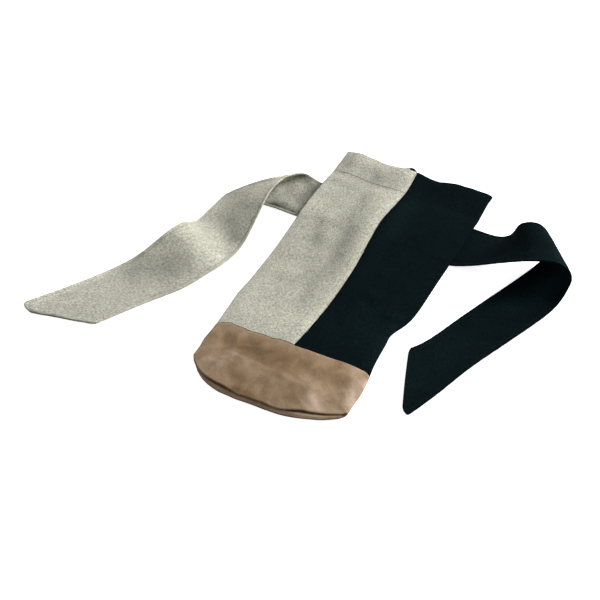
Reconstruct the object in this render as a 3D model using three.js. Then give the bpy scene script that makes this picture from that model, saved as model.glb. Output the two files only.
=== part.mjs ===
// A soft bag for one wine bottle, lying empty on a table.
// The tube has a natural linen half and a black linen half, a doubled hem at the mouth,
// a suede band at the foot and a base panel folded inward. Two flat ties are sewn to the back seam.
// Millimetres. X runs across the bag, Y towards its mouth, Z up from the table.
// The origin is on the underside of the band.

import * as THREE from "three";
import { mergeVertices } from "three/addons/utils/BufferGeometryUtils.js";

// Cloth
const linenThickness = 0.9;
const suedeThickness = 1.2;
const baseThickness = 0.8;
const tieThickness = 1.2;
const seamGap = 0.3;

// Tube, in plan
const bandSeamY = 32.5;
const mouthY = 296;
const bandCornerY = -14;
const footDrop = 27.5;
const hemDepth = 32;
const frontSeamX = 0;
const backSeamX = -3;
const leftEdgeOutline = [[-14, -78], [28, -79], [90, -79], [180, -77.5], [296, -75]];
const rightEdgeOutline = [[-14, 71], [28, 70], [50, 67], [90, 65.5], [114, 71.5], [150, 73], [296, 74]];

// Tube, in height
const foldRadius = 2.4;
const crownHeight = 10.5;
const footLipHeight = 8;

// Base panel
const baseLipInset = 0.8;
const baseFoldY = -11;
const baseReach = 0.9;

// Ties
const tieWidth = 55;
const mouthToTie = 74.5;
const naturalTieLength = 302;
const blackTieLength = 315;
const tieClearance = 0.1;
const tieRampLength = 8;
const leftHingeX = -80;
const rightHingeX = 75.5;
const tieY = mouthY - mouthToTie;
const tieMidZ = tieClearance + tieThickness / 2;
const tubeLift = tieClearance + tieThickness + seamGap;

// A tie's route from its hinge line. "at" is the middle of the strip as [outward, towards the mouth,
// up from where it lies flat], in hundredths of the tie's length. "rule" reaches from there to the
// strip's mouth-side edge, in half widths.
const naturalTieRoute = [
  { at: [0, 0, 0], rule: [0, 1, 0] },
  { at: [6.95, 0.26, 0.43], rule: [-0.25, 1, 0.02] },
  { at: [13.25, -1.32, 0.7], rule: [-0.65, 1.04, 0.04] },
  { at: [15.73, -0.93, 2.02], rule: [-0.78, 0.94, 0] },
  { at: [16.06, -3.81, 3.74], rule: [-0.78, 0.98, -0.07] },
  { at: [17.88, -11.59, 2.81], rule: [-0.73, 0.93, -0.03] },
  { at: [18.71, -19.04, 0.93], rule: [-0.78, 0.87, 0.02] },
  { at: [18.21, -27.32, 2.28], rule: [-1.02, 0.62, -0.23] },
  { at: [18.71, -35.1, 3.74], rule: [-1.15, 0.35, -0.36] },
  { at: [20.86, -42.22, 2.75], rule: [-1.2, 0.22, -0.22] },
  { at: [25.99, -52.98, 0.46], rule: [-1.15, -0.05, -0.03] },
  { at: [33.11, -63.74, 0.07], rule: [-1.13, -0.04, 0] },
  { at: [42.38, -79.47, 0], rule: [-1.16, 0.2, 0] },
];
const blackTieRoute = [
  { at: [0, 0, 0], rule: [0, 1, 0] },
  { at: [6.83, 0, 1.46], rule: [0.04, 0.96, -0.12] },
  { at: [12.22, 0.32, 4.22], rule: [-0.07, 1, -0.18] },
  { at: [17.14, 0.32, 8.35], rule: [-0.29, 1, -0.11] },
  { at: [22.86, 0.32, 11.52], rule: [-0.44, 1, -0.11] },
  { at: [28.25, -0.79, 12.16], rule: [-0.56, 0.88, -0.18] },
  { at: [31.9, -2.86, 6.76], rule: [-0.58, 0.82, -0.07] },
  { at: [30, -5.56, 1.84], rule: [-0.51, 0.94, -0.05] },
  { at: [27.3, -8.57, 0.67], rule: [-0.53, 1.04, -0.04] },
  { at: [24.76, -15.71, 0.7], rule: [-0.67, 0.87, -0.08] },
  { at: [21.27, -24.13, 0.86], rule: [-0.75, 0.78, -0.1] },
  { at: [16.83, -35.71, 0.86], rule: [-0.82, 0.51, -0.1] },
  { at: [12.7, -46.51, 0.54], rule: [-0.75, 0.69, -0.06] },
  { at: [8.25, -56.98, 0.06], rule: [-0.57, 1.31, 0] },
];
const naturalFoldStation = 3;
const blackFoldStation = 6;

// Facets
const topSteps = 12;
const foldSteps = 5;
const bottomSteps = 3;
const plainSteps = 9;
const rampSteps = 4;
const bandSteps = 7;
const baseSteps = 24;
const routeSteps = 5;
const ribbonSteps = 3;

// Cross-section of the tube

function edgeLine(outline) {
  const positions = outline.map(([y]) => y);
  const values = outline.map(([, x]) => x);
  return new THREE.CubicInterpolant(positions, values, 1);
}

const leftEdgeLine = edgeLine(leftEdgeOutline);
const rightEdgeLine = edgeLine(rightEdgeOutline);

function edgeX(side, y) {
  const inRange = THREE.MathUtils.clamp(y, bandCornerY, mouthY);
  return (side < 0 ? leftEdgeLine : rightEdgeLine).evaluate(inRange)[0];
}

// The tube is lifted where the ties lie under it.
function liftAt(y) {
  const beyond = Math.abs(y - tieY) - tieWidth / 2 - seamGap;
  return tubeLift * (1 - THREE.MathUtils.smoothstep(beyond, 0, tieRampLength));
}

// Height of the tube's upper side, which is crowned between the two side folds.
function topZ(x, y, crown) {
  const left = edgeX(-1, y) + foldRadius;
  const right = edgeX(1, y) - foldRadius;
  const across = (2 * x - left - right) / (right - left);
  return 2 * foldRadius + (crown - 2 * foldRadius) * (1 - across * across);
}

// Half of the tube's section at y, from the front seam round the side fold to the back seam.
// "inset" is the depth below the outer surface.
function halfSection(side, y, inset, gap, crown = crownHeight) {
  const points = [];
  const foldX = edgeX(side, y) - side * foldRadius;
  const startX = frontSeamX + side * gap / 2;
  const endX = backSeamX + side * gap / 2;
  for (let i = 0; i <= topSteps; i++) {
    const x = THREE.MathUtils.lerp(startX, foldX, i / topSteps);
    points.push([x, topZ(x, y, crown) - inset]);
  }
  for (let i = 1; i <= foldSteps; i++) {
    const angle = Math.PI * (0.5 - i / foldSteps);
    const radius = foldRadius - inset;
    points.push([foldX + side * radius * Math.cos(angle), foldRadius + radius * Math.sin(angle)]);
  }
  for (let i = 1; i <= bottomSteps; i++) {
    points.push([THREE.MathUtils.lerp(foldX, endX, i / bottomSteps), inset]);
  }
  return points.map(([x, z]) => new THREE.Vector3(x, y, z + liftAt(y)));
}

// Solids

// A wall between matching rows of points on its two faces. Each row runs across the wall,
// and a closed wall joins the end of each row to its start.
function wallGeometry(faceRows, backRows, closed) {
  const rows = faceRows.length;
  const count = faceRows[0].length;
  const positions = [...faceRows.flat(), ...backRows.flat()].flatMap((p) => [p.x, p.y, p.z]);
  const face = (row, i) => row * count + (i % count);
  const back = (row, i) => rows * count + face(row, i);
  const index = [];
  const quad = (a, b, c, d) => index.push(a, b, c, a, c, d);
  const spans = closed ? count : count - 1;
  for (let row = 0; row < rows - 1; row++) {
    for (let i = 0; i < spans; i++) {
      quad(face(row, i), face(row, i + 1), face(row + 1, i + 1), face(row + 1, i));
      quad(back(row, i), back(row + 1, i), back(row + 1, i + 1), back(row, i + 1));
    }
    if (!closed) {
      quad(face(row, 0), face(row + 1, 0), back(row + 1, 0), back(row, 0));
      quad(face(row, spans), back(row, spans), back(row + 1, spans), face(row + 1, spans));
    }
  }
  for (let i = 0; i < spans; i++) {
    quad(face(0, i), back(0, i), back(0, i + 1), face(0, i + 1));
    quad(face(rows - 1, i), face(rows - 1, i + 1), back(rows - 1, i + 1), back(rows - 1, i));
  }
  return outwardGeometry(positions, index);
}

// Turns all faces over if the body would be inside out.
function outwardGeometry(positions, index) {
  const geometry = new THREE.BufferGeometry();
  geometry.setAttribute("position", new THREE.Float32BufferAttribute(positions, 3));
  const corner = (n) => new THREE.Vector3().fromArray(positions, 3 * index[n]);
  let volume = 0;
  for (let n = 0; n < index.length; n += 3) {
    volume += corner(n).dot(corner(n + 1).cross(corner(n + 2)));
  }
  if (volume < 0) {
    index.reverse();
  }
  geometry.setIndex(index);
  const merged = mergeVertices(geometry, 1e-6);
  merged.computeVertexNormals();
  return merged;
}

// Places along the tube where a linen half needs a row of points: evenly up to the ties,
// closer on the two ramps beside them, and at the hem and the mouth.
function panelStations() {
  const rampStart = tieWidth / 2 + seamGap;
  const ramp = Array.from({ length: rampSteps + 1 }, (_, i) =>
    rampStart + tieRampLength * i / rampSteps);
  const firstRampY = tieY - rampStart - tieRampLength;
  const startY = bandSeamY + seamGap / 2;
  const plain = Array.from({ length: plainSteps }, (_, i) =>
    THREE.MathUtils.lerp(startY, firstRampY, i / plainSteps));
  const beside = ramp.flatMap((distance) => [tieY - distance, tieY + distance]);
  return [...plain, ...beside, mouthY - hemDepth, mouthY].sort((one, other) => one - other);
}

// One linen half of the tube. The wall is doubled over the depth of the hem.
function panelGeometry(side) {
  const hemY = mouthY - hemDepth;
  const faceRows = [];
  const backRows = [];
  const addRow = (y, thickness) => {
    faceRows.push(halfSection(side, y, 0, seamGap));
    backRows.push(halfSection(side, y, thickness, seamGap));
  };
  for (const y of panelStations()) {
    addRow(y, y > hemY ? 2 * linenThickness : linenThickness);
    if (y === hemY) {
      addRow(y + linenThickness, 2 * linenThickness);
    }
  }
  return wallGeometry(faceRows, backRows, false);
}

// Lower edge of the foot: half an ellipse between the two side folds.
function footY(x) {
  const left = edgeX(-1, bandCornerY);
  const right = edgeX(1, bandCornerY);
  const across = (2 * x - left - right) / (right - left);
  return bandCornerY - footDrop * Math.sqrt(Math.max(0, 1 - across * across));
}

// A full ring of the tube on the band, a part of the way from its seam down to its lower edge.
function bandRing(part, inset) {
  const startY = bandSeamY - seamGap / 2;
  const crown = THREE.MathUtils.lerp(crownHeight, footLipHeight, part);
  const sectionY = THREE.MathUtils.lerp(startY, bandCornerY, part);
  const left = halfSection(-1, sectionY, inset, 0, crown);
  const right = halfSection(1, sectionY, inset, 0, crown).reverse();
  const ring = [...left.slice(0, -1), ...right.slice(0, -1)];
  for (const point of ring) {
    point.y = THREE.MathUtils.lerp(startY, footY(point.x), part);
  }
  return ring;
}

function bandGeometry() {
  const parts = Array.from({ length: bandSteps + 1 }, (_, i) => i / bandSteps);
  const faceRows = parts.map((part) => bandRing(part, 0));
  const backRows = parts.map((part) => bandRing(part, suedeThickness));
  return wallGeometry(faceRows, backRows, true);
}

// The base panel is a pointed oval, folded in along its length between the band's two lips.
function baseGeometry() {
  const left = edgeX(-1, bandCornerY);
  const right = edgeX(1, bandCornerY);
  const middle = (left + right) / 2;
  const reach = baseReach * (right - left) / 2;
  const faceRows = [];
  const backRows = [];
  for (let i = 0; i <= baseSteps; i++) {
    const x = middle + reach * Math.sin(Math.PI * (i / baseSteps - 0.5));
    const lipY = footY(x) + baseLipInset;
    const upperZ = topZ(x, bandCornerY, footLipHeight) - suedeThickness - seamGap;
    const lowerZ = suedeThickness + seamGap;
    const foldZ = (upperZ + lowerZ) / 2;
    const at = (y, z) => new THREE.Vector3(x, y, z);
    faceRows.push([at(lipY, upperZ), at(baseFoldY, foldZ + baseThickness),
      at(baseFoldY + baseThickness, foldZ), at(baseFoldY, foldZ - baseThickness), at(lipY, lowerZ)]);
    const innerFoldY = baseFoldY - 2 * baseThickness;
    backRows.push([at(lipY, upperZ - baseThickness), at(innerFoldY, foldZ + baseThickness / 8),
      at(innerFoldY, foldZ), at(innerFoldY, foldZ - baseThickness / 8), at(lipY, lowerZ + baseThickness)]);
  }
  return wallGeometry(faceRows, backRows, false);
}

// Ties

// The middle of the strip at a station of its route, in millimetres.
function middleAt(side, at) {
  const start = new THREE.Vector3(side < 0 ? leftHingeX : rightHingeX, tieY, tieMidZ);
  const length = side < 0 ? naturalTieLength : blackTieLength;
  const [out, along, up] = at.map((share) => share * length / 100);
  return start.add(new THREE.Vector3(side * out, along, up));
}

// The two edges of a tie as smooth curves through its route.
function tieEdges(side, route) {
  const edge = (sign) => new THREE.CatmullRomCurve3(route.map(({ at, rule: [out, along, up] }) =>
    middleAt(side, at).addScaledVector(new THREE.Vector3(side * out, along, up), sign * tieWidth / 2)));
  return { mouthEdge: edge(1), footEdge: edge(-1) };
}

// A stretch of a tie between two places on its route, counted in stations.
function ribbonGeometry(side, route, from, to) {
  const { mouthEdge, footEdge } = tieEdges(side, route);
  const last = route.length - 1;
  const steps = Math.round((to - from) * routeSteps);
  const faceRows = [];
  const backRows = [];
  for (let i = 0; i <= steps; i++) {
    const t = THREE.MathUtils.lerp(from, to, i / steps) / last;
    const start = footEdge.getPoint(t);
    const end = mouthEdge.getPoint(t);
    const along = mouthEdge.getTangent(t).add(footEdge.getTangent(t));
    const normal = along.cross(end.clone().sub(start)).normalize().multiplyScalar(tieThickness / 2);
    const across = Array.from({ length: ribbonSteps + 1 }, (_, k) =>
      start.clone().lerp(end, k / ribbonSteps));
    faceRows.push(across.map((point) => point.clone().add(normal)));
    backRows.push(across.map((point) => point.clone().sub(normal)));
  }
  return wallGeometry(faceRows, backRows, false);
}

// How far along the route half a seam gap is, near a station.
function halfGap(side, route, station) {
  const { mouthEdge, footEdge } = tieEdges(side, route);
  const last = route.length - 1;
  const span = 0.02;
  const moved = (edge) => edge.getPoint(station / last).distanceTo(edge.getPoint((station + span) / last));
  return seamGap / (moved(mouthEdge) + moved(footEdge)) * span;
}

// The sewn root of a tie, flat under the tube from the back seam to the hinge line.
function rootGeometry(side) {
  const hingeX = side < 0 ? leftHingeX : rightHingeX;
  const length = Math.abs(hingeX - backSeamX) - seamGap;
  const geometry = new THREE.BoxGeometry(length, tieWidth, tieThickness);
  geometry.translate((hingeX + backSeamX) / 2, tieY, tieMidZ);
  return geometry;
}

// Assembly

const bag = new THREE.Group();

function addPiece(name, geometry, color, roughness) {
  const material = new THREE.MeshStandardMaterial({ color, roughness, metalness: 0 });
  const mesh = new THREE.Mesh(geometry, material);
  mesh.name = name;
  bag.add(mesh);
}

function addTie(name, side, route, foldStation, color, roughness) {
  const end = route.length - 1;
  const rootGap = halfGap(side, route, 0);
  const foldGap = halfGap(side, route, foldStation);
  addPiece(`${name}_root`, rootGeometry(side), color, roughness);
  addPiece(`${name}_middle`, ribbonGeometry(side, route, rootGap, foldStation - foldGap), color, roughness);
  addPiece(`${name}_end`, ribbonGeometry(side, route, foldStation + foldGap, end), color, roughness);
}

const natural = 0xbdb9ab;
const black = 0x15191b;
const suede = 0x97795b;

addPiece("natural_panel", panelGeometry(-1), natural, 0.95);
addPiece("black_panel", panelGeometry(1), black, 0.9);
addPiece("base_band", bandGeometry(), suede, 0.85);
addPiece("base_panel", baseGeometry(), suede, 0.9);
addTie("natural_tie", -1, naturalTieRoute, naturalFoldStation, natural, 0.95);
addTie("black_tie", 1, blackTieRoute, blackFoldStation, black, 0.9);

export default bag;
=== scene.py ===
"""A soft wine bottle bag lying empty on a table: two linen halves, a suede base and two linen ties."""

import math

import bpy
import numpy as np
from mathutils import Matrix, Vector


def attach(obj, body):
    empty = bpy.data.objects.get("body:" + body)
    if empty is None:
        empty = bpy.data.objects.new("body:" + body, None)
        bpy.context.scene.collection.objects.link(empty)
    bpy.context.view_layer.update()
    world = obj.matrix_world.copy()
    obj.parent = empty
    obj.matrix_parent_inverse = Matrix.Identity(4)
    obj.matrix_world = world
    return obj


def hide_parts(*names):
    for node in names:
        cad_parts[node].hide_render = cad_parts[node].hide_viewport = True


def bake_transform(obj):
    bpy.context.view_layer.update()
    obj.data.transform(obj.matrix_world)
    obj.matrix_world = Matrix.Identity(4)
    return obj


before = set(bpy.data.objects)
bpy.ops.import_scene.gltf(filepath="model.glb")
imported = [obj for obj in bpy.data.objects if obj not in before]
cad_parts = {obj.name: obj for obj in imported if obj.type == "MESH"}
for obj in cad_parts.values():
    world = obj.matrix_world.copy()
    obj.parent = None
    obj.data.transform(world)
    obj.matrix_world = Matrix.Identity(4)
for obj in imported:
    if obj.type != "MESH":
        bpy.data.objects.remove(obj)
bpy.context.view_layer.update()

bl_info = {
    "name": "Wine bottle bag",
    "version": (1, 0, 0),
    "blender": (4, 5, 0),
    "location": "3D View > Sidebar > Bottle bag",
    "description": "Makes a soft linen and suede bottle bag with its ties, stitching and table",
    "category": "Add Mesh",
}

MM = 0.001
CLOTH_MAP = "cloth"
# The point attribute that holds painted light and shade.
SHADE = "shade"


# Colours and small helpers

def srgb(red, green, blue):
    """A colour given from 0 to 255, as Blender's linear values."""
    def linear(part):
        part = part / 255
        return part / 12.92 if part <= 0.04045 else ((part + 0.055) / 1.055) ** 2.4
    return tuple(linear(part) for part in (red, green, blue))


def mix(start, end, share):
    """From start at a share of 0 to end at 1."""
    return start + (end - start) * share


def rise(start, end, at):
    """0 before start, 1 after end and a smooth rise between them."""
    share = np.clip((at - start) / (end - start), 0.0, 1.0)
    return share * share * (3 - 2 * share)


def bell(away, width):
    """1 at no distance, falling off smoothly over about width."""
    return np.exp(-(away / width) ** 2)


def through(points, at):
    """A smooth line through (place, value) points, read at any places."""
    places, values = np.array(points, float).T
    slopes = np.gradient(values, places)
    at = np.clip(at, places[0], places[-1])
    span = np.clip(np.searchsorted(places, at) - 1, 0, len(places) - 2)
    width = places[span + 1] - places[span]
    share = (at - places[span]) / width
    turn = share * share * (3 - 2 * share)
    start_pull = share * (1 - share) ** 2 * width * slopes[span]
    end_pull = share * share * (share - 1) * width * slopes[span + 1]
    return mix(values[span], values[span + 1], turn) + start_pull + end_pull


def ripples(x, y, seed, across, along, waves=14):
    """An uneven field of about -1 to 1, whose waves have these typical lengths along x and y."""
    random = np.random.default_rng(seed)
    total = np.zeros(np.broadcast(x, y).shape)
    for _ in range(waves):
        turn_x, turn_y = random.normal(size=2) / (across, along)
        start = random.uniform(0, 2 * math.pi)
        total = total + np.sin(2 * math.pi * (turn_x * x + turn_y * y) + start)
    return total / math.sqrt(2 * waves)


def spaced(start, end, step, close_to=(), offsets=(0, 0.25, 0.6, 1.1, 1.9)):
    """Places from start to end about step apart, and closer together near each of close_to."""
    count = max(1, round((end - start) / step))
    even = np.linspace(start, end, count + 1)
    near = [mark + sign * offset for mark in close_to for offset in offsets for sign in (-1, 1)]
    near = np.array([place for place in near if start <= place <= end] + [start, end])
    kept = [place for place in even if np.abs(near - place).min() > 0.3 * step]
    return np.unique(np.round(np.concatenate([kept, near]), 4))


def rounding(distance, radius):
    """How far a surface has turned inward at this distance from an edge rounded to radius."""
    inside = radius - np.minimum(distance, radius)
    return radius - np.sqrt(np.maximum(radius * radius - inside * inside, 0))


def unit(vectors):
    """The same vectors, each with a length of 1."""
    return vectors / np.maximum(np.linalg.norm(vectors, axis=-1, keepdims=True), 1e-12)


def normals_of(grid):
    """Unit normals of a grid of points with rows first."""
    return unit(np.cross(np.gradient(grid, axis=1), np.gradient(grid, axis=0)))


def lengths_along(grid, axis):
    """Distance walked along the grid's lines, from its first point."""
    steps = np.linalg.norm(np.diff(grid, axis=axis), axis=-1)
    zero = np.zeros_like(np.take(steps, [0], axis=axis))
    return np.concatenate([zero, np.cumsum(steps, axis=axis)], axis=axis)


# Meshes

def new_piece(name, points, faces, cloth_places, material, normals=None, shade=None):
    """A smooth mesh from points in millimetres.

    cloth_places gives each face corner's place on the flat cloth.
    shade is painted light and shade, which makes a point lighter or darker.
    """
    mesh = bpy.data.meshes.new(name)
    mesh.from_pydata((np.asarray(points) * MM).tolist(), [], faces)
    layer = mesh.uv_layers.new(name=CLOTH_MAP)
    layer.uv.foreach_set("vector", (np.asarray(cloth_places, np.float32) * MM).ravel())
    mesh.polygons.foreach_set("use_smooth", [True] * len(mesh.polygons))
    if normals is not None:
        mesh.normals_split_custom_set_from_vertices(normals.tolist())
    if shade is not None:
        both = np.concatenate([np.ravel(shade), np.zeros(len(mesh.vertices) - shade.size)])
        mesh.attributes.new(SHADE, "FLOAT", "POINT").data.foreach_set("value", both.astype(np.float32))
    mesh.materials.append(material)
    mesh.update()
    piece = bpy.data.objects.new(name, mesh)
    bpy.context.collection.objects.link(piece)
    return piece


def shell(face, back, cloth, ring=False):
    """A closed wall between two grids of points. A ring's last column joins its first.

    cloth is the grid of places on the flat cloth, with one column more than the points in a ring.
    """
    rows, columns = face.shape[:2]
    points = np.concatenate([face.reshape(-1, 3), back.reshape(-1, 3)])
    faces = []
    places = []

    def add(corners):
        faces.append([layer * rows * columns + row * columns + column % columns
                      for layer, row, column in corners])
        places.extend(cloth[row, column] for _, row, column in corners)

    spans = columns if ring else columns - 1
    for row in range(rows - 1):
        for column in range(spans):
            around = [(row, column), (row, column + 1), (row + 1, column + 1), (row + 1, column)]
            add([(0, *corner) for corner in around])
            add([(1, *corner) for corner in reversed(around)])
    for column in range(spans):
        add([(0, 0, column), (1, 0, column), (1, 0, column + 1), (0, 0, column + 1)])
        last = rows - 1
        add([(0, last, column), (0, last, column + 1), (1, last, column + 1), (1, last, column)])
    if not ring:
        for row in range(rows - 1):
            last = columns - 1
            add([(0, row, 0), (0, row + 1, 0), (1, row + 1, 0), (1, row, 0)])
            add([(0, row, last), (1, row, last), (1, row + 1, last), (0, row + 1, last)])
    return points, faces, places


def ring_walls(rings, sides):
    """The faces round a row of rings and over its two ends, as corners (ring, side)."""
    for ring in range(rings - 1):
        for side in range(sides):
            yield [(ring, side), (ring, side + 1), (ring + 1, side + 1), (ring + 1, side)]
    yield [(0, side) for side in reversed(range(sides))]
    yield [(rings - 1, side) for side in range(sides)]


def outward(points, faces, places):
    """The same mesh with its faces turned outward."""
    fans = [(face[0], face[i], face[i + 1]) for face in faces for i in range(1, len(face) - 1)]
    a, b, c = (points[list(corner)] for corner in zip(*fans))
    if (a * np.cross(b, c)).sum() >= 0:
        return points, faces, places
    turned, start = [], 0
    for face in faces:
        turned.extend(reversed(places[start:start + len(face)]))
        start += len(face)
    return points, [list(reversed(face)) for face in faces], turned


# Tube

# Places along the tube.
BAND_SEAM = 32.5
MOUTH = 296.0
FOOT_CORNER = -14.0
TIE_MIDDLE = 221.5

# The ties' width and how far they lift the tube, half a sewn seam's gap, and the depth and half the
# thickness of the base panel that is folded in.
TIE_WIDTH = 54.0
TIE_LIFT = 2.0
SEAM_GAP = 0.16
BASE_FOLD_DEPTH = 9.0
BASE_FOLD_HALF_WALL = 0.4

# How far the hem's stitches run above its edge, how deep they pull, how far the hem and the band stand
# proud, and how round the linen's sewn edges, its edge at the band and the band's top edge are.
HEM_STITCH_INSET = 1.3
STITCH_GROOVE = 0.38
HEM_STEP = 0.28
BAND_STEP = 0.22
SEWN_EDGE_RADIUS = 0.62
LOWER_EDGE_RADIUS = 0.4
BAND_EDGE_RADIUS = 0.45

# Rows down the band are set out over its height, and columns round the tube over half its width: close
# together beside a seam, then evenly over the upper side, the side fold and the lower side.
BAND_HEIGHT = 46.0
HALF_WIDTH = 76.0
SEAM_COLUMNS = np.array([0, 0.15, 0.35, 0.6, 0.95, 1.5, 2.4, 3.6, 5])
UPPER_FROM_SEAM, LOWER_FROM_SEAM = 7, 6
UPPER_COLUMNS, FOLD_COLUMNS, LOWER_COLUMNS = 36, 9, 21

# The side folds and the seams, as (y, x).
LEFT_EDGE = [(-14, -77.6), (-1, -77.4), (9.3, -78.5), (20.7, -77.9), (54.5, -78.3), (77.5, -78.8),
             (89.7, -77.6), (113.7, -76.6), (138, -76), (162.5, -76.4), (187, -77.1), (230, -76.9),
             (250, -75.6), (261, -75), (272, -75), (285, -74.7), (296, -75.2)]
RIGHT_EDGE = [(-14, 71.5), (0, 71.6), (10, 71.9), (28, 70.5), (46, 67.9), (59, 67), (72, 66.4), (86, 65.9),
              (94, 68.3), (98, 70.1), (110.6, 73.8), (122.6, 74.9), (146, 75.3), (169, 75.4), (191, 75.9),
              (246, 76.9), (271, 75.8), (285, 75.1), (296, 75.6)]
FRONT_SEAM = [(-14, -4), (33, -2.8), (57, 0.3), (84, 2.6), (110, 3.4), (156, 1.9), (183, -0.7), (214, -2.3),
              (243, -0.1), (261, 0.7), (291, -1.4), (296, -1.7)]
BACK_SEAM = [(-14, -3), (120, -3), (240, -3.5), (296, -11)]

# The height of the upper side along its middle, as (y, z), and at the mouth, as (x, z).
CROWN = [(-14, 7.4), (-6, 8.4), (10, 9.4), (32, 8.6), (60, 9.2), (120, 9.2), (180, 8.8), (221, 9.2),
         (245, 8.2), (262, 7), (296, 6)]
MOUTH_HEIGHT = [(-75, 4.2), (-70, 5.4), (-62, 6.8), (-51, 4.6), (-38, 4.2), (-26, 4), (-10, 5.6),
                (-1.5, 4.6), (9, 4.2), (22, 4), (38, 5), (54, 4.8), (65, 4.2), (71, 4.3), (75, 3.8)]

# How far the mouth's front and back edges reach past its line, as (x, y).
FRONT_MOUTH_REACH = [(-74, 0), (-69, 0.1), (-62, 0.1), (-54, 0.9), (-44, 0.7), (-38, -0.6), (-26, -2.5),
                     (-10, -0.6), (-1.5, 0.5), (9, -1.6), (21, -3.3), (28, -1.2), (38, 0.6), (47, 0.7),
                     (56, 1.2), (65, 1.2), (71, 0.8), (76, -0.4)]
BACK_MOUTH_REACH = [(-75, 0.6), (-45, 1.2), (-28, 2.2), (-16, 3.8), (-11, 5.4), (-7.5, 5.4), (-2, 1.8),
                    (6, 0.4), (14, 0), (75, 0.2)]

# How far the sewn lines stray along the tube on its upper side, as (x, y).
HEM_SWAY = [(-77, 4.2), (-70, 3.3), (-62, 3.1), (-53, 2.2), (-46, 1.1), (-38, 0.7), (-28, 1.3), (-22, 0.9),
            (-16, 0), (-10, -0.5), (-6, 0.2), (0, 0.2), (30, 0.6), (60, 0), (75, 0.8)]
BAND_SWAY = [(-78, -2.2), (-76.3, -1.2), (-71.4, 0.9), (-66.3, 2.4), (-59.8, 1.3), (-53.5, 0.5),
             (-47.2, -0.3), (-41.2, -0.4), (-29.5, -0.4), (-23.1, -1.4), (-18.1, 0), (-12.5, 0.4),
             (-7.2, 0.9), (0, -0.5), (9, -0.4), (18, -0.1), (35, 0.2), (49, 1.5), (60, 1.1), (67, 0),
             (71, -2.6)]
SWAY_REACH = 16.0

# The tube's lower edge at the foot, and how far its front lip is drawn back from it, as (x, y).
FOOT_EDGE = [(-78.2, -10.7), (-76, -14.5), (-72.8, -18.2), (-66.4, -25.6), (-58, -32.4), (-47.4, -37.5),
             (-40, -39.7), (-31, -40.5), (-20, -41.3), (-10.7, -41), (9.4, -41.4), (18, -41.2), (25, -40.2),
             (36, -37.6), (42.5, -35.5), (52, -32), (63, -25.7), (69, -20.8), (71.6, -17)]
FRONT_LIP_BACK = [(-78, -0.2), (-73, -0.2), (-66, 0.7), (-59.5, 1.6), (-50.8, 2.8), (-44, 3.8), (-37, 4),
                  (-28.5, 2.2), (-18.7, 0.6), (-8.7, 0.8), (-1.6, 1.2), (5.5, 1.6), (13, 0.7), (20.4, 1.2),
                  (28, 2.7), (35.7, 4.4), (44.3, 3.7), (50, 3.7), (59.3, 2.8), (66, 2), (71, 0.6)]

# Soft folds of the tube's upper side: the points (x, y) that each runs through, its width and height.
LINEN_FOLDS = [
    (((-22, 246), (-14, 190), (-10, 160), (-17, 126)), 8, 1.0),
    (((-38, 250), (-31, 190), (-27, 160), (-34, 128)), 8, -0.9),
    (((-47, 198), (-36, 162)), 7, 0.6),
    (((-62, 192), (-52, 158)), 8, -0.7),
    (((-66, 250), (-66, 200)), 7, 0.7),
    (((-31, 284), (-34, 262)), 8, -0.8),
    (((-12, 292), (-14, 262)), 6, 0.6),
    (((-40, 110), (-44, 60)), 11, 0.5),
    (((70, 90), (52, 96), (34, 104)), 7, -2.0),
    (((72, 106), (50, 112), (30, 118)), 8, 1.1),
    (((66, 70), (34, 78)), 10, 0.7),
    (((22, 292), (20, 222)), 10, -1.1),
    (((56, 290), (52, 214)), 11, 0.8),
    (((40, 190), (34, 130)), 12, -0.6),
    (((12, 120), (15, 50)), 10, 0.5),
]
SUEDE_FOLDS = [
    (((-53, -14), (-52, -6)), 3.5, 0.7),
    (((-50, 22), (-46, 3)), 3.5, 0.7),
    (((-58, 16), (-55, -2)), 6, -0.8),
    (((-51, 0), (-35, -1), (-12, -4.5), (3, -4.5), (15, -7)), 3, 0.6),
    (((-40, 16), (-26, 8), (-14, 2)), 6, -0.7),
    (((8, 5), (9, 17)), 3.5, 0.6),
    (((-2, 10), (0, 2)), 6, -0.6),
    (((18, 14), (24, 4)), 6, -0.6),
    (((-34, -24), (-14, -28)), 6, -0.7),
    (((14, -22), (28, -24)), 6, -0.6),
    (((33, -9), (44, -27)), 4, 1),
    (((41, 20), (46, 4)), 6, -0.7),
    (((50, 33), (64, 2), (70, -16)), 5, 0.8),
]
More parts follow.
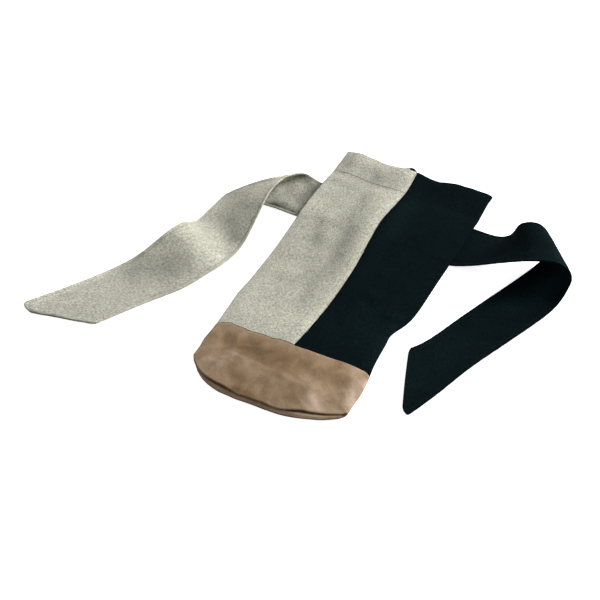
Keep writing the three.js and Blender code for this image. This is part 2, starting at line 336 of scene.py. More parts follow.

# Painted light and shade: places that the folds, their shadows and their highlights leave lighter or
# darker, in the same form.
LINEN_SHADES = [
    (((-42, 290), (-36, 216), (-34, 140)), 38, -0.19),
    (((-72, 276), (-24, 272)), 12, -0.12),
    (((-50, 291), (-38, 291)), 5, 0.2),
    (((-29, 240), (-21, 190), (-17, 160), (-24, 128)), 6, -0.14),
    (((-26, 206), (-22, 150)), 10, -0.11),
    (((-38, 202), (-38, 188)), 6, -0.1),
    (((-30, 276), (-31, 260)), 8, -0.12),
    (((-54, 192), (-48, 175), (-42, 158)), 5, -0.09),
    (((-64, 248), (-46, 248)), 6, -0.14),
    (((-70, 240), (-70, 198)), 5, 0.14),
    (((-66, 212), (-52, 202)), 9, 0.14),
    (((-64, 121), (-50, 119)), 9, 0.13),
    (((-66, 102), (-66, 78)), 8, 0.1),
    (((-62, 57), (-24, 54)), 13, 0.14),
    (((20, 274), (66, 268)), 14, -0.2),
    (((14, 246), (14, 202)), 11, 0.35),
    (((16, 66), (58, 62)), 26, 0.28),
    (((28, 107), (64, 105)), 5, 0.6),
    (((65, 94), (64, 40)), 4, 0.4),
    (((-24, 118), (-19, 78)), 9, -0.15),
    (((-9, 256), (-9, 208)), 5, 0.14),
    (((-24, 214), (-22, 200)), 5, 0.18),
    (((-36, 284), (-34, 268)), 5, -0.11),
    (((-56, 166), (-28, 164)), 7, -0.11),
    (((-26, 150), (-26, 128)), 4, 0.15),
    (((-13, 152), (-13, 126)), 5, -0.16),
    (((-33, 122), (-32, 112)), 4, -0.12),
    (((-24, 261), (-14, 260)), 2, -0.12),
    (((-77, 265), (-70, 264)), 2, -0.14),
    (((10, 240), (13, 140)), 9, 0.2),
    (((40, 108), (64, 94)), 5, 0.35),
    (((34, 80), (64, 66)), 8, 0.25),
    (((20, 286), (56, 281)), 9, -0.18),
    (((-17, 293), (-6, 293)), 4, 0.14),
    (((-4, 284), (-4, 268)), 3, -0.14),
    (((-72, 283), (-66, 276)), 5, -0.1),
    (((-20, 110), (-17, 84)), 6, -0.1),
    (((34, 46), (54, 44)), 6, -0.15),
]
SUEDE_SHADES = [
    (((-60, 16), (-38, 15), (-10, 13), (20, 14), (52, 15)), 9, -0.24),
    (((-44, 6), (10, 0)), 16, -0.09),
    (((-58, 12), (-54, 8)), 7, -0.07),
    (((-40, 14), (-27, 8.5)), 6, -0.07),
    (((-16, 4), (-13, 0)), 5, -0.05),
    (((-2, 8), (3, -1)), 6, -0.12),
    (((-45, -2), (-28, -5)), 4.5, 0.28),
    (((-61, -15), (-52, -16)), 5.5, 0.42),
    (((-36, -20), (-20, -29)), 7, -0.15),
    (((70, 18), (68, -4)), 7, 0.5),
    (((20, 3), (44, -12)), 8, 0.14),
    (((38, -20), (54, -31)), 7, 0.4),
    (((13, -28), (18, -28)), 5, -0.16),
    (((15, 14), (20, 13)), 5, -0.05),
    (((-32, -25), (-26, -25)), 6, -0.06),
    (((20, -23), (26, -22)), 6, -0.045),
    (((40, 18), (43, 14)), 6, -0.06),
    (((-51, 0), (-35, -1), (-12, -4.5), (3, -4.5), (15, -7)), 1.8, 0.15),
    (((-49, 20), (-46, 4)), 1.7, 0.13),
    (((8, 6), (9, 16)), 1.6, 0.12),
    (((34, -11), (43, -25)), 2, 0.06),
    (((57, 33), (68, 2), (71, -16)), 6, 0.16),
    (((-28, 22), (-4, 19), (18, 20)), 9, -0.13),
    (((-48, 14), (-40, 3)), 6, -0.13),
    (((-24, 1), (-2, -1), (15, 0)), 4.5, -0.22),
    (((-60, 28), (-52, 27)), 4, 0.22),
    (((-30, -22), (8, -23)), 7, -0.12),
    (((22, -27), (30, -24)), 5, -0.18),
    (((24, 19), (24, 10)), 3.5, 0.15),
    (((31, 9), (46, 10)), 6, -0.08),
    (((-24, -36), (-8, -38), (4, -38)), 4, -0.3),
]


def lift(y):
    """How far the tube is raised by the ties that lie under it."""
    return TIE_LIFT * (1 - rise(TIE_WIDTH / 2, TIE_WIDTH / 2 + 9, np.abs(y - TIE_MIDDLE)))


def soft_strokes(strokes, x, y):
    """What soft strokes add up to at x, y."""
    total = np.zeros(np.broadcast(x, y).shape)
    for points, width, height in strokes:
        away = np.inf
        for (x0, y0), (x1, y1) in zip(points, points[1:]):
            dx, dy = x1 - x0, y1 - y0
            share = np.clip(((x - x0) * dx + (y - y0) * dy) / (dx * dx + dy * dy), 0, 1)
            away = np.minimum(away, np.hypot(x - x0 - share * dx, y - y0 - share * dy))
        total += height * bell(away, width)
    return total


class Tube:
    """The outer surface of the flat tube, for the sizes that are set in the sidebar."""

    front_columns = len(SEAM_COLUMNS) + UPPER_COLUMNS

    def __init__(self, sizes):
        self.radius = sizes.fold_radius / MM
        self.fullness = sizes.fullness
        self.linen = sizes.linen_thickness / MM
        self.suede = sizes.suede_thickness / MM
        self.hem_depth = sizes.hem_depth / MM
        self.hem = MOUTH - self.hem_depth
        self.stitch_line = self.hem + HEM_STITCH_INSET

    def top(self, x, y):
        """Height of the upper side at x, y. It is full in the middle and thin at the side folds."""
        left = through(LEFT_EDGE, y) + self.radius
        right = through(RIGHT_EDGE, y) - self.radius
        across = np.clip((2 * x - left - right) / (right - left), -1, 1)
        inner = 1 - np.abs(across) ** 2.3
        crown = through(CROWN, y) * self.fullness
        height = 2 * self.radius + 0.6 * lift(y) * (1 - inner) + (crown - 2 * self.radius) * inner
        waves = 0.3 * ripples(x, y, 4, 30, 90) + 0.1 * ripples(x, y, 9, 10, 24)
        height += (soft_strokes(LINEN_FOLDS, x, y) + waves) * np.clip(inner * 2.2, 0, 1)
        # Towards the mouth the tube takes on the mouth's own height.
        start, end = MOUTH - 48, MOUTH + 4
        height = mix(height, through(MOUTH_HEIGHT, x), rise(start, end, y) / rise(start, end, MOUTH))
        return height + self.hem_relief(x, y) + self.seam_relief(x, y)

    @staticmethod
    def seam_relief(x, y):
        """The valley and the small puckers along the front seam."""
        beside = x - through(FRONT_SEAM, y)
        width = np.where(beside < 0, 6.5, 4.0)
        depth = 1.2 + 0.8 * rise(MOUTH - 45, MOUTH - 10, y) - 1.8 * rise(MOUTH - 10, MOUTH, y)
        valley = np.maximum(1 - np.abs(beside) / width, 0) ** 1.25
        pucker = 0.16 * ripples(x, y, 12, 60, 7) * bell(beside, 5)
        return (pucker - depth * valley) * rise(BAND_SEAM - 14, BAND_SEAM + 12, y)

    def hem_relief(self, x, y):
        """The hem's second layer, and the groove and the puckers that its stitches pull."""
        from_stitches = y - self.stitch_line
        layer = HEM_STEP * rise(self.hem - 0.6, self.hem + 0.4, y)
        pucker = 0.12 * ripples(x, y, 21, 6, 40) * bell(from_stitches, 6)
        return layer - STITCH_GROOVE * bell(from_stitches, 0.6) + pucker

    @staticmethod
    def bottom(x, y):
        """Height of the side that lies on the table, raised by a tie and by the back seam at the mouth."""
        sway = 0.18 + 0.14 * ripples(x, y, 31, 26, 60)
        at_back_seam = 1.6 * bell(x + 9, 6) * rise(MOUTH - 24, MOUTH, y)
        return np.maximum(sway, 0.03) + lift(y) + at_back_seam

    def section(self, side, y, seam_gap):
        """Points from the front seam round the side fold to the back seam, a row for each y."""
        y = np.asarray(y, float)[:, None]
        fold = through(LEFT_EDGE, y) + self.radius if side < 0 else through(RIGHT_EDGE, y) - self.radius
        front_seam, back_seam = (through(seam, y) + side * seam_gap for seam in (FRONT_SEAM, BACK_SEAM))
        near = SEAM_COLUMNS / HALF_WIDTH
        front = np.concatenate([near, np.linspace(UPPER_FROM_SEAM / HALF_WIDTH, 1, UPPER_COLUMNS)])[None, :]
        under = np.linspace(0, 1 - LOWER_FROM_SEAM / HALF_WIDTH, LOWER_COLUMNS + 1)[1:]
        under = np.concatenate([under, 1 - near[::-1]])[None, :]
        turns = np.linspace(0, math.pi, FOLD_COLUMNS + 2)[1:-1][None, :]
        x_front, x_under = mix(front_seam, fold, front), mix(fold, back_seam, under)
        z_front, z_under = self.top(x_front, y), self.bottom(x_under, y)
        z_high, z_low = z_front[:, -1:], self.bottom(fold, y)
        x_turn = fold + side * self.radius * np.sin(turns)
        z_turn = z_low + (z_high - z_low) / 2 * (1 + np.cos(turns))
        x = np.concatenate([x_front, x_turn, fold + 0 * y, x_under], axis=1)
        z = np.concatenate([z_front, z_turn, z_low, z_under], axis=1)
        return np.stack([x, np.broadcast_to(y, x.shape), z], axis=-1)

    def upper_share(self, section):
        """1 on the upper side of a section, fading to 0 round its side fold."""
        around = lengths_along(section, 1)
        fold = self.front_columns - 1
        return 1 - rise(0, 9, around - around[:, fold:fold + 1])


def linen_half(tube, side):
    """Outer and inner points of one linen half, their places on the flat cloth and its shades."""
    seam = BAND_SEAM + SEAM_GAP
    y = spaced(seam, MOUTH, 2.2, close_to=(seam, tube.stitch_line, MOUTH))[:, None]
    from_mouth, from_band = MOUTH - y, y - BAND_SEAM
    outer = tube.section(side, y[:, 0], SEAM_GAP)
    x = outer[..., 0]
    upper = tube.upper_share(outer)
    # Painted light and shade of the folds, from the strokes.
    shade = soft_strokes(LINEN_SHADES, x, outer[..., 1])
    reach = mix(through(BACK_MOUTH_REACH, x), through(FRONT_MOUTH_REACH, x), upper)
    reach += 0.3 * ripples(x, 0 * x, 40 + side, 24, 24)
    outer[..., 1] += reach * rise(MOUTH - 70, MOUTH, y)
    outer[..., 1] += through(HEM_SWAY, x) * upper * bell(y - tube.hem, SWAY_REACH)
    outer[..., 1] += through(BAND_SWAY, x) * upper * bell(from_band, SWAY_REACH)
    around = lengths_along(outer, 1)
    # Painted shade along the natural half's front seam and beside it, and along the hem's stitch line.
    if side < 0:
        shade -= 0.2 * bell(around, 0.9) + 0.12 * bell(around - 10, 7)
    shade -= 0.12 * bell(y - tube.stitch_line, 0.5)
    shade *= upper
    cloth = np.stack([side * around, lengths_along(outer, 0) + BAND_SEAM], axis=-1)
    normal = normals_of(outer) * side
    thickness = mix(tube.linen, 2 * tube.linen, rise(tube.hem - 0.4, tube.hem + 0.4, y))
    lip = rounding(from_mouth, 0.98 * tube.linen)
    turned = rounding(np.minimum(around, around[:, -1:] - around), SEWN_EDGE_RADIUS)
    turned = np.maximum(turned, rounding(from_band, LOWER_EDGE_RADIUS))
    face = outer - normal * np.maximum(lip, turned)[..., None]
    back = outer - normal * (thickness - lip)[..., None]
    return face, back, cloth, shade


def band_ring(tube):
    """Outer and inner points of the suede band as a ring round the tube, their places and its shades."""
    part = spaced(0, BAND_HEIGHT, 1.6, (0, BAND_HEIGHT), offsets=(0, 0.2, 0.45, 0.8, 1.3)) / BAND_HEIGHT
    top_y = BAND_SEAM - SEAM_GAP
    halves = [tube.section(side, mix(top_y, FOOT_CORNER, part), 0) for side in (-1, 1)]

    def joined(left, right):
        return np.concatenate([left[:, :-1], right[:, :0:-1]], axis=1)

    upper = joined(*(tube.upper_share(half) for half in halves))
    ring = joined(*halves)
    x = ring[..., 0]
    part = part[:, None]
    lip = through(FOOT_EDGE, x) + through(FRONT_LIP_BACK, x) * upper
    ring[..., 1] = mix(top_y + through(BAND_SWAY, x) * upper, lip, part)
    puff = np.clip(4 * part * (1 - part), 0, 1)
    relief = soft_strokes(SUEDE_FOLDS, x, ring[..., 1]) + 0.2 * ripples(x, ring[..., 1], 51, 14, 14)
    ring[..., 2] += upper * relief * puff ** 0.6
    # Painted light and shade of the band's folds, on its upper side.
    shade = soft_strokes(SUEDE_SHADES, x, ring[..., 1]) * upper
    around = lengths_along(np.concatenate([ring, ring[:, :1]], axis=1), 1)
    down = np.concatenate([lengths_along(ring, 0), lengths_along(ring, 0)[:, :1]], axis=1)
    cloth = np.stack([around, -down], axis=-1)
    normal = normals_of(np.concatenate([ring[:, -2:], ring, ring[:, :2]], axis=1))[:, 2:-2]
    if normal[len(part) // 2, 5, 2] < 0:
        normal = -normal
    from_top, from_lip = part * BAND_HEIGHT, (1 - part) * BAND_HEIGHT
    lip = rounding(from_lip, 0.52 * tube.suede)
    step = BAND_STEP * rise(0.2, 1.6, from_top) - rounding(from_top, BAND_EDGE_RADIUS)
    face = ring + normal * (step - lip)[..., None]
    face[..., 2] = np.maximum(face[..., 2], 0.02)
    back = ring - normal * (tube.suede - lip)[..., None]
    return face, back, cloth, shade


def base_fold(tube):
    """The base panel folded inward, from the lower lip up, in to its fold and back to the front lip."""
    left, right = through(LEFT_EDGE, FOOT_CORNER), through(RIGHT_EDGE, FOOT_CORNER)
    # The panel stops short of the side folds and lies just inside the band's upper and lower walls.
    middle, reach = (left + right) / 2, 0.955 * (right - left) / 2
    x = (middle + reach * np.sin(np.linspace(-0.5, 0.5, 91) * math.pi))[None, :]
    high = tube.top(x, FOOT_CORNER) - tube.suede - 0.25
    low = tube.suede + 0.35
    lower_lip = through(FOOT_EDGE, x)
    front_lip = lower_lip + through(FRONT_LIP_BACK, x)
    deep = BASE_FOLD_DEPTH * np.sqrt(np.maximum(1 - ((x - middle) / reach) ** 2, 0)) + 2
    # How far in each turn lies, as a share of the depth and in millimetres, and how high from low to high.
    turns = [(0, 0.35, 0.14), (0, 0.15, 0.38), (0, 0.5, 0.6), (0, 1.7, 0.73), (0.3, 1.5, 0.7),
             (0.7, 1.5, 0.58), (1, 1.5, 0.56), (1, 2.3, 0.7), (1, 1.5, 0.86), (0.6, 1.8, 0.92)]
    profile = [(lower_lip + 2.4, low), (lower_lip + 1.1, low + 0.05)]
    profile += [(lower_lip + share * deep + more, low + height * (high - low))
                for share, more, height in turns]
    profile += [(front_lip + 3.2, high - 0.1), (front_lip + 1.5, high)]
    grid = smooth_rows(np.array([np.stack(np.broadcast_arrays(x[0], y[0], np.ravel(z)), axis=-1)
                                 for y, z in profile]), 4)
    sway = 0.35 * ripples(grid[..., 0], grid[..., 2], 61, 16, 9)
    grid[..., 1] += sway * rise(0, 0.2, np.linspace(0, 1, len(grid)))[:, None]
    grid[..., 2] = np.maximum(grid[..., 2], 0.5)
    cloth = np.stack([lengths_along(grid, 1), lengths_along(grid, 0)], axis=-1)
    # The lip is painted lighter near x 44, a painted highlight, and the rows past its turn, which lie in
    # shadow, are painted darker too.
    inside = rise(19.5, 22, np.arange(len(grid)))[:, None]
    shade = mix(0.1 + 0.38 * bell(grid[..., 0] - 44, 16), -0.36, inside)
    wall = normals_of(grid) * BASE_FOLD_HALF_WALL
    return grid + wall, grid - wall, cloth, shade


def smooth_rows(control, steps):
    """Rows of a smooth surface through rows of control points."""
    padded = np.concatenate([2 * control[:1] - control[1:2], control, 2 * control[-1:] - control[-2:-1]])
    rows = []
    for i in range(len(padded) - 3):
        p0, p1, p2, p3 = padded[i:i + 4]
        d0, d1, d2 = (np.maximum(np.linalg.norm(b - a, axis=-1, keepdims=True), 1e-6) ** 0.5
                      for a, b in ((p0, p1), (p1, p2), (p2, p3)))
        out = ((p1 - p0) / d0 - (p2 - p0) / (d0 + d1) + (p2 - p1) / d1) * d1
        into = ((p2 - p1) / d1 - (p3 - p1) / (d1 + d2) + (p3 - p2) / d2) * d1
        for step in range(steps):
            t = step / steps
            rows.append((2 * t ** 3 - 3 * t ** 2 + 1) * p1 + (t ** 3 - 2 * t ** 2 + t) * out
                        + (3 * t ** 2 - 2 * t ** 3) * p2 + (t ** 3 - t ** 2) * into)
    rows.append(control[-1])
    return np.array(rows)


# Ties

# Each tie's route from its hinge line. A station has three points across the strip, at its edge towards
# the base, its middle and its edge towards the mouth, each as (outward, towards the mouth, up).
LEFT_HINGE, RIGHT_HINGE = -80.0, 75.5
NATURAL_ROUTE = [
    ((0, -28.2, 1.1), (0, -2, 1.1), (0, 23.8, 1)),
    ((25.3, -27.7, 1.9), (17, -2.1, 1.1), (8.8, 24.2, 3.8)),
    ((64, -28.8, 1), (39.7, -2.7, 3.4), (14, 22.4, 7.6)),
    ((71.8, -29.4, 0.9), (46.6, -6.6, 8.8), (20.9, 10.5, 14)),
    ((72.2, -32.4, 1.3), (49, -18, 12.1), (25.7, -4.5, 17.7)),
    ((75.6, -59.6, 1.9), (50.4, -43, 10.2), (27.6, -29, 18.5)),
    ((77.9, -73.3, 0.9), (50.7, -64.6, 3.9), (25, -57.7, 13.3)),
    ((79.2, -85.4, 6.9), (51.9, -90.3, 2.6), (24.2, -95.5, 3.5)),
    ((77.5, -101.9, 20.1), (54.6, -112.9, 11), (30.5, -123.2, 2.9)),
    ((82.9, -115.4, 20.9), (59.2, -125.5, 12), (36, -135, 1.9)),
    ((103.4, -145.5, 3.2), (74.9, -152.1, 2.4), (45.6, -158.9, 1.1)),
    ((128.6, -189.6, 1.4), (98.2, -191.3, 1.1), (67.8, -192.9, 1)),
    ((173.2, -253.1, 1.4), (133.4, -244.9, 1.4), (94.6, -237.2, 1.8)),
]
BLACK_ROUTE = [
    ((0, -28.4, 1.1), (0, -1.2, 1.1), (0, 25.8, 1.1)),
    ((23.6, -28.3, 10.3), (25, -1.6, 6.5), (26.4, 25, 2.2)),
    ((43.1, -27.8, 20.4), (40.9, -1.4, 13.6), (37.7, 25.4, 9)),
    ((64.3, -26.5, 30.1), (55.3, -0.2, 27.6), (45.3, 25.6, 24.7)),
    ((75.6, -26.3, 34.8), (66.5, -0.2, 34.9), (57.9, 24.6, 32.3)),
    ((99.2, -21.4, 37), (82.4, 1.8, 34.7), (65.9, 25, 31.1)),
    ((112.2, -22, 27.5), (93.8, 1.1, 24.2), (74.8, 24.4, 20.6)),
    ((109.9, -35, 12), (93.6, -9.8, 10), (76.3, 15.1, 8)),
    ((106, -48.7, 7), (89.8, -21.2, 4.9), (72.8, 6.2, 4.3)),
    ((96.1, -70.8, 3.5), (79.6, -44.4, 1.7), (63, -18.1, 1.7)),
    ((83.8, -101.4, 3.3), (67.1, -75.4, 1.5), (50.4, -49.6, 1.2)),
    ((67.1, -143.5, 3.5), (51.5, -115, 1.5), (36, -86.5, 1)),
    ((53, -185.1, 1.8), (36.5, -157, 1.6), (20.1, -128.9, 0.9)),
    ((38.7, -223.1, 1.2), (24, -184, 1.6), (10.6, -144.4, 1.2)),
]

# How many stations lead from the back seam to the hinge line, how many rows lie between two stations, how
# many times these are softened, and how far apart the rows are then set.
ROOT_STATIONS = 4
STATION_STEPS = 14
SOFTENINGS = 10
ROW_STEP = 2.0

# Distances from the strip's edge: the columns of points and the stitches. Then how many points turn round
# its folded edge, the cloth that this takes, and how far apart its two sides lie on the flat cloth.
TIE_COLUMNS = np.array([0, 0.5, 1.1, 1.8, 2.4, 2.9, 3.4, 4.2, 6, 9, 13, 18, 22.5])
STITCH_INSET = 2.9
EDGE_TURNS = 4
EDGE_CLOTH = 1.6
LOWER_SIDE_CLOTH = 200.0

# Half the strip's thickness, what its middle, its edges and its hemmed end add to that, what its stitches
# take away, and how round its end is. Its lowest point, and the height from which it is eased up to that.
STRIP_HALF = 0.62
STRIP_MIDDLE, STRIP_EDGE, STRIP_HEM = 0.14, 0.16, 0.3
STRIP_GROOVE = 0.24
STRIP_END_RADIUS = 0.9
STRIP_LOWEST, STRIP_EASED_FROM = 0.05, 0.3

# The stretches that each tie is made in: a name, the stations where it starts and ends, how much painted
# shade darkens it all over, the body that it rides on, or the two that it bends between, and where that
# bend lies.
NATURAL_STRETCHES = [
    ("root", -ROOT_STATIONS, 0.32, -0.3, ("bag", "natural_tie_middle"),
     (-0.0739, 0.2214, 0.0006), (-0.0843, 0.2216, 0.0018)),
    ("middle", 0.32, 4.0, -0.3, ("natural_tie_middle", "natural_tie_end"),
     (-0.12707, 0.21880, 0.00468), (-0.12799, 0.21910, 0.00678)),
    ("end", 4.0, len(NATURAL_ROUTE) - 1, 0.0, ("natural_tie_end",)),
]
BLACK_STRETCHES = [
    ("root", -ROOT_STATIONS, 0.36, 0.0, ("bag", "black_tie_middle"),
     (0.0686, 0.2215, -0.0002), (0.0852, 0.2215, 0.0034)),
    ("middle", 0.36, 4.9, 0.0, ("black_tie_middle",)),
    ("roll", 4.9, 7.4, 0.0, ("black_tie_middle", "black_tie_end"),
     (0.1751, 0.2137, 0.0362), (0.1777, 0.2122, 0.0106)),
    ("end", 7.4, len(BLACK_ROUTE) - 1, 0.0, ("black_tie_end",)),
]

# How far each end's two corners are cut off, and how round each cut is.
NATURAL_CORNERS = ((15, 1.6), (4, 3))
BLACK_CORNERS = ((10, 3), (4, 3))

# Painted light and shade on the ties: places painted lighter or darker, as points (along, across), a width
# and a height.
NATURAL_TIE_SHADES = [
    (((80, -24), (80, 24)), 7, -0.28),
    (((76, -25), (76, -12)), 4, -0.1),
    (((76, 8), (76, 25)), 4, -0.18),
    (((80, -24), (120, -24)), 1.2, -0.35),
    (((92, -20), (103, -22)), 5, -0.38),
    (((91, 20), (99, 22)), 5, -0.2),
    (((165, -25), (184, -20)), 5, 0.25),
    (((188, 2), (206, 18)), 8, -0.24),
    (((212, -20), (226, -8)), 9, -0.12),
    (((236, 20), (246, 24)), 6, 0.22),
    (((246, -24), (270, -19)), 9, 0.5),
    (((278, 5), (304, -4)), 12, -0.22),
    (((290, -18), (300, -17)), 8, -0.16),
    (((312, -25), (384, -25)), 4.5, 0.25),
    (((411, -27), (401, -18), (392, 0), (383, 27)), 2, -0.5),
    (((116, -23), (124, -17)), 4, -0.3),
    (((98, -24), (103, -18)), 4, -0.1),
    (((87, 23), (100, 23)), 3, -0.28),
    (((110, 14), (118, 19)), 4, 0.32),
    (((200, 8), (206, 17)), 6, -0.1),
    (((290, 15), (294, 18)), 6, -0.12),
    (((80, -16), (90, -12)), 4, 0.2),
    (((80, 24), (86, 24)), 4, 0.14),
    (((88, 9), (92, 15)), 3.5, 0.18),
    (((106, -2), (108, 2)), 3.5, 0.35),
    (((102, 24), (114, 25)), 4, 0.35),
    (((108, 18), (114, 24)), 5, 0.5),
    (((110, 3), (119, 17)), 5, 0.75),
    (((118, 17), (126, 25)), 5, 0.3),
    (((320, -25), (370, -25)), 4, 0.12),
    (((320, 26), (386, 26)), 3, 0.14),
    (((212, 0), (219, 5)), 6, 0.14),
    (((254, -9), (264, -9)), 5, 0.35),
    (((262, -25), (272, -24)), 4, 0.16),
    (((281, -8), (299, -12)), 5, -0.1),
    (((338, -9), (372, -9)), 8, 0.08),
    (((376, -24), (396, -22)), 6, 0.16),
]
BLACK_TIE_SHADES = [
    (((112, -10), (132, 0)), 14, -0.25),
    (((190, 0), (208, 0)), 12, 0.2),
    (((214, 0), (234, -4), (252, 6)), 13, 1.9),
    (((262, 10), (285, 14)), 11, 0.25),
    (((150, -22), (198, -20)), 9, 0.5),
    (((330, 0), (384, 0)), 24, 0.45),
]


class Tie:
    """A doubled strip of linen laid along its route, as rings of points."""

    def __init__(self, side, route, corners, shades):
        self.side = side
        self.corners = corners
        self.shades = shades
        hinge = LEFT_HINGE if side < 0 else RIGHT_HINGE
        sewn = abs(hinge - through(BACK_SEAM, TIE_MIDDLE)) - 0.4
        route = np.array(route, float)
        root = [route[0] - (sewn * (1 - i / ROOT_STATIONS), 0, 0) for i in range(ROOT_STATIONS)]
        stations = np.concatenate([root, route]) * (side, 1, 1) + (hinge, TIE_MIDDLE, 0)
        dense = smooth_rows(stations, STATION_STEPS)
        self.station = np.arange(len(dense)) / STATION_STEPS - ROOT_STATIONS
        self.lay(self.evened(dense))

    def evened(self, dense):
        """Rows softened along the strip and set evenly apart, with their station numbers kept."""
        soft = dense.copy()
        for _ in range(SOFTENINGS):
            soft[1:-1] = (soft[:-2] + 2 * soft[1:-1] + soft[2:]) / 4
        soft = np.where((self.station < 0.3)[:, None, None], dense, soft)
        walked = lengths_along(soft[:, 1], 0)
        at = spaced(0, walked[-1], ROW_STEP, (walked[-1],), offsets=(0, 0.15, 0.35, 0.6, 0.9, 1.4))
        self.station = np.interp(at, walked, self.station)
        lines = [[np.interp(at, walked, soft[:, line, axis]) for axis in range(3)] for line in range(3)]
        return np.array(lines).transpose(2, 0, 1)

    def lay(self, lines):
        """Builds the strip as rings of points, with its normals and its places on the flat cloth."""
        centre = lines[:, 1]
        share = np.concatenate([TIE_COLUMNS / TIE_WIDTH, [0.5], 1 - TIE_COLUMNS[::-1] / TIE_WIDTH])
        self.columns = len(share)
        from_edge = np.minimum(share, 1 - share)[None, :] * TIE_WIDTH
        to_end = (lengths_along(centre, 0)[-1] - lengths_along(centre, 0))[:, None]
        middle = self.middle_surface(lines, share[None, :], to_end)
        walked = lengths_along(middle, 0)
        across = (share - 0.5)[None, :] * TIE_WIDTH + 0 * walked
        normal = normals_of(middle)
        middle = middle + normal * self.waves(across, walked, from_edge)[..., None]
        half = self.half_thickness(from_edge, to_end)
        turns = np.linspace(0, math.pi, EDGE_TURNS + 2)[1:-1]

        def edge_round(column, edge_way, turns):
            """The strip's folded edge, from its upper side round to its lower side or back."""
            around = turns[None, :, None]
            thick = half[:, column][:, None, None]
            return (middle[:, column][:, None] + edge_way[:, None] * thick * np.sin(around)
                    + normal[:, column][:, None] * thick * np.cos(around))

        foot, mouth = lines[:, 0], lines[:, 2]
        foot_way = unit(1.5 * foot - 2 * centre + 0.5 * mouth)
        mouth_way = unit(0.5 * foot - 2 * centre + 1.5 * mouth)
        self.upper = middle + normal * half[..., None]
        self.lower = middle - normal * half[..., None]
        rings = np.concatenate([self.upper, edge_round(-1, mouth_way, turns), self.lower[:, ::-1],
                                edge_round(0, foot_way, turns[::-1])], axis=1)
        below = rings[..., 2] - STRIP_EASED_FROM
        eased = STRIP_LOWEST + (STRIP_EASED_FROM - STRIP_LOWEST) * np.exp(np.minimum(below, 0) * 2)
        rings[..., 2] = np.where(below < 0, eased, rings[..., 2])
        self.rings, self.normal = rings, normal
        self.lay_cloth(across[0], walked, turns / math.pi)
        around = np.roll(rings, -1, axis=1) - np.roll(rings, 1, axis=1)
        self.ring_normals = unit(np.cross(around, np.gradient(rings, axis=0)))
        halfway = len(rings) // 2
        from_centre = rings[halfway] - rings[halfway].mean(axis=0)
        if (from_centre * self.ring_normals[halfway]).sum() < 0:
            self.ring_normals = -self.ring_normals

    def middle_surface(self, lines, share, to_end):
        """The surface through the strip's three lines, drawn in where its end's corners are cut off."""
        foot, centre, mouth = (lines[:, line][:, None] for line in range(3))
        foot_pull, mouth_pull = (cut * np.maximum(1 - to_end / cut, 0) ** power
                                 for cut, power in self.corners)
        pull = np.where(share < 0.5, foot_pull, mouth_pull)
        s = ((2 * share - 1) * (1 - 2 * pull / TIE_WIDTH))[..., None]
        return foot * s * (s - 1) / 2 + centre * (1 - s * s) + mouth * s * (s + 1) / 2

    def waves(self, across, walked, from_edge):
        """How far the loose strip billows inside and puckers along its edges."""
        billow = 0.3 * ripples(across, walked, 70 + self.side, 26, 34) * rise(0, 9, from_edge)
        pucker = 0.14 * ripples(across, walked, 80 + self.side, 30, 6.5) * (1 - rise(2, 9, from_edge))
        return (billow + pucker) * rise(0.2, 1.5, self.station)[:, None]

    @staticmethod
    def half_thickness(from_edge, to_end):
        """Half the strip's thickness, more at its edges and its hemmed end and less under its stitches."""
        half = STRIP_HALF + STRIP_MIDDLE * rise(3, 7, from_edge)
        half = half + STRIP_EDGE * (1 - rise(1.2, 2.4, from_edge)) + STRIP_HEM * (1 - rise(2.5, 7, to_end))
        half = half - STRIP_GROOVE * bell(from_edge - STITCH_INSET, 0.55)
        end = np.maximum(1 - rounding(to_end, STRIP_END_RADIUS) / STRIP_END_RADIUS, 0)
        return half * np.sqrt(end * 0.96 + 0.04)

    def lay_cloth(self, across, walked, turns):
        """Lays each ring out on the flat cloth, the lower side apart from the upper, and paints its light
        and shade.
        """
        edge = TIE_WIDTH / 2 + EDGE_CLOTH * turns
        places = np.concatenate([across, edge, across[::-1] + LOWER_SIDE_CLOTH, -edge + LOWER_SIDE_CLOTH])
        ends = [np.repeat(walked[:, column], len(turns), 1) for column in (slice(-1, None), slice(0, 1))]
        along = np.concatenate([walked, ends[0], walked[:, ::-1], ends[1]], axis=1)
        self.cloth = np.stack([np.broadcast_to(places, along.shape), along], axis=-1)
        edge = np.full(len(turns), TIE_WIDTH / 2)
        self.shade = soft_strokes(self.shades, along,
                                  np.concatenate([across, edge, across[::-1], -edge])[None, :])

    def rows_between(self, start, end):
        """Row numbers from one station to another, both included."""
        first, last = (int(np.argmin(np.abs(self.station - station))) for station in (start, end))
        return first, last + 1

    def stretch(self, name, start, end, material, shade):
        """A closed piece of the tie between two stations, with painted shade making it lighter or darker
        all over.
        """
        first, last = self.rows_between(start, end)
        rings, cloth = self.rings[first:last], self.cloth[first:last]
        rows, columns = rings.shape[:2]
        walls = [[(row, column % columns) for row, column in wall] for wall in ring_walls(rows, columns)]
        faces = [[row * columns + column for row, column in wall] for wall in walls]
        places = [cloth[corner] for wall in walls for corner in wall]
        mesh = outward(rings.reshape(-1, 3), faces, places)
        normals = self.ring_normals[first:last].reshape(-1, 3)
        return new_piece(name, *mesh, material, normals=normals, shade=self.shade[first:last] + shade)

    def size_between(self, start, end):
        """Flat width and length of a stretch, in metres."""
        first, last = self.rows_between(start, end)
        walked = self.cloth[last - 1, :self.columns, 1] - self.cloth[first, :self.columns, 1]
        return TIE_WIDTH * MM, float(walked.mean()) * MM

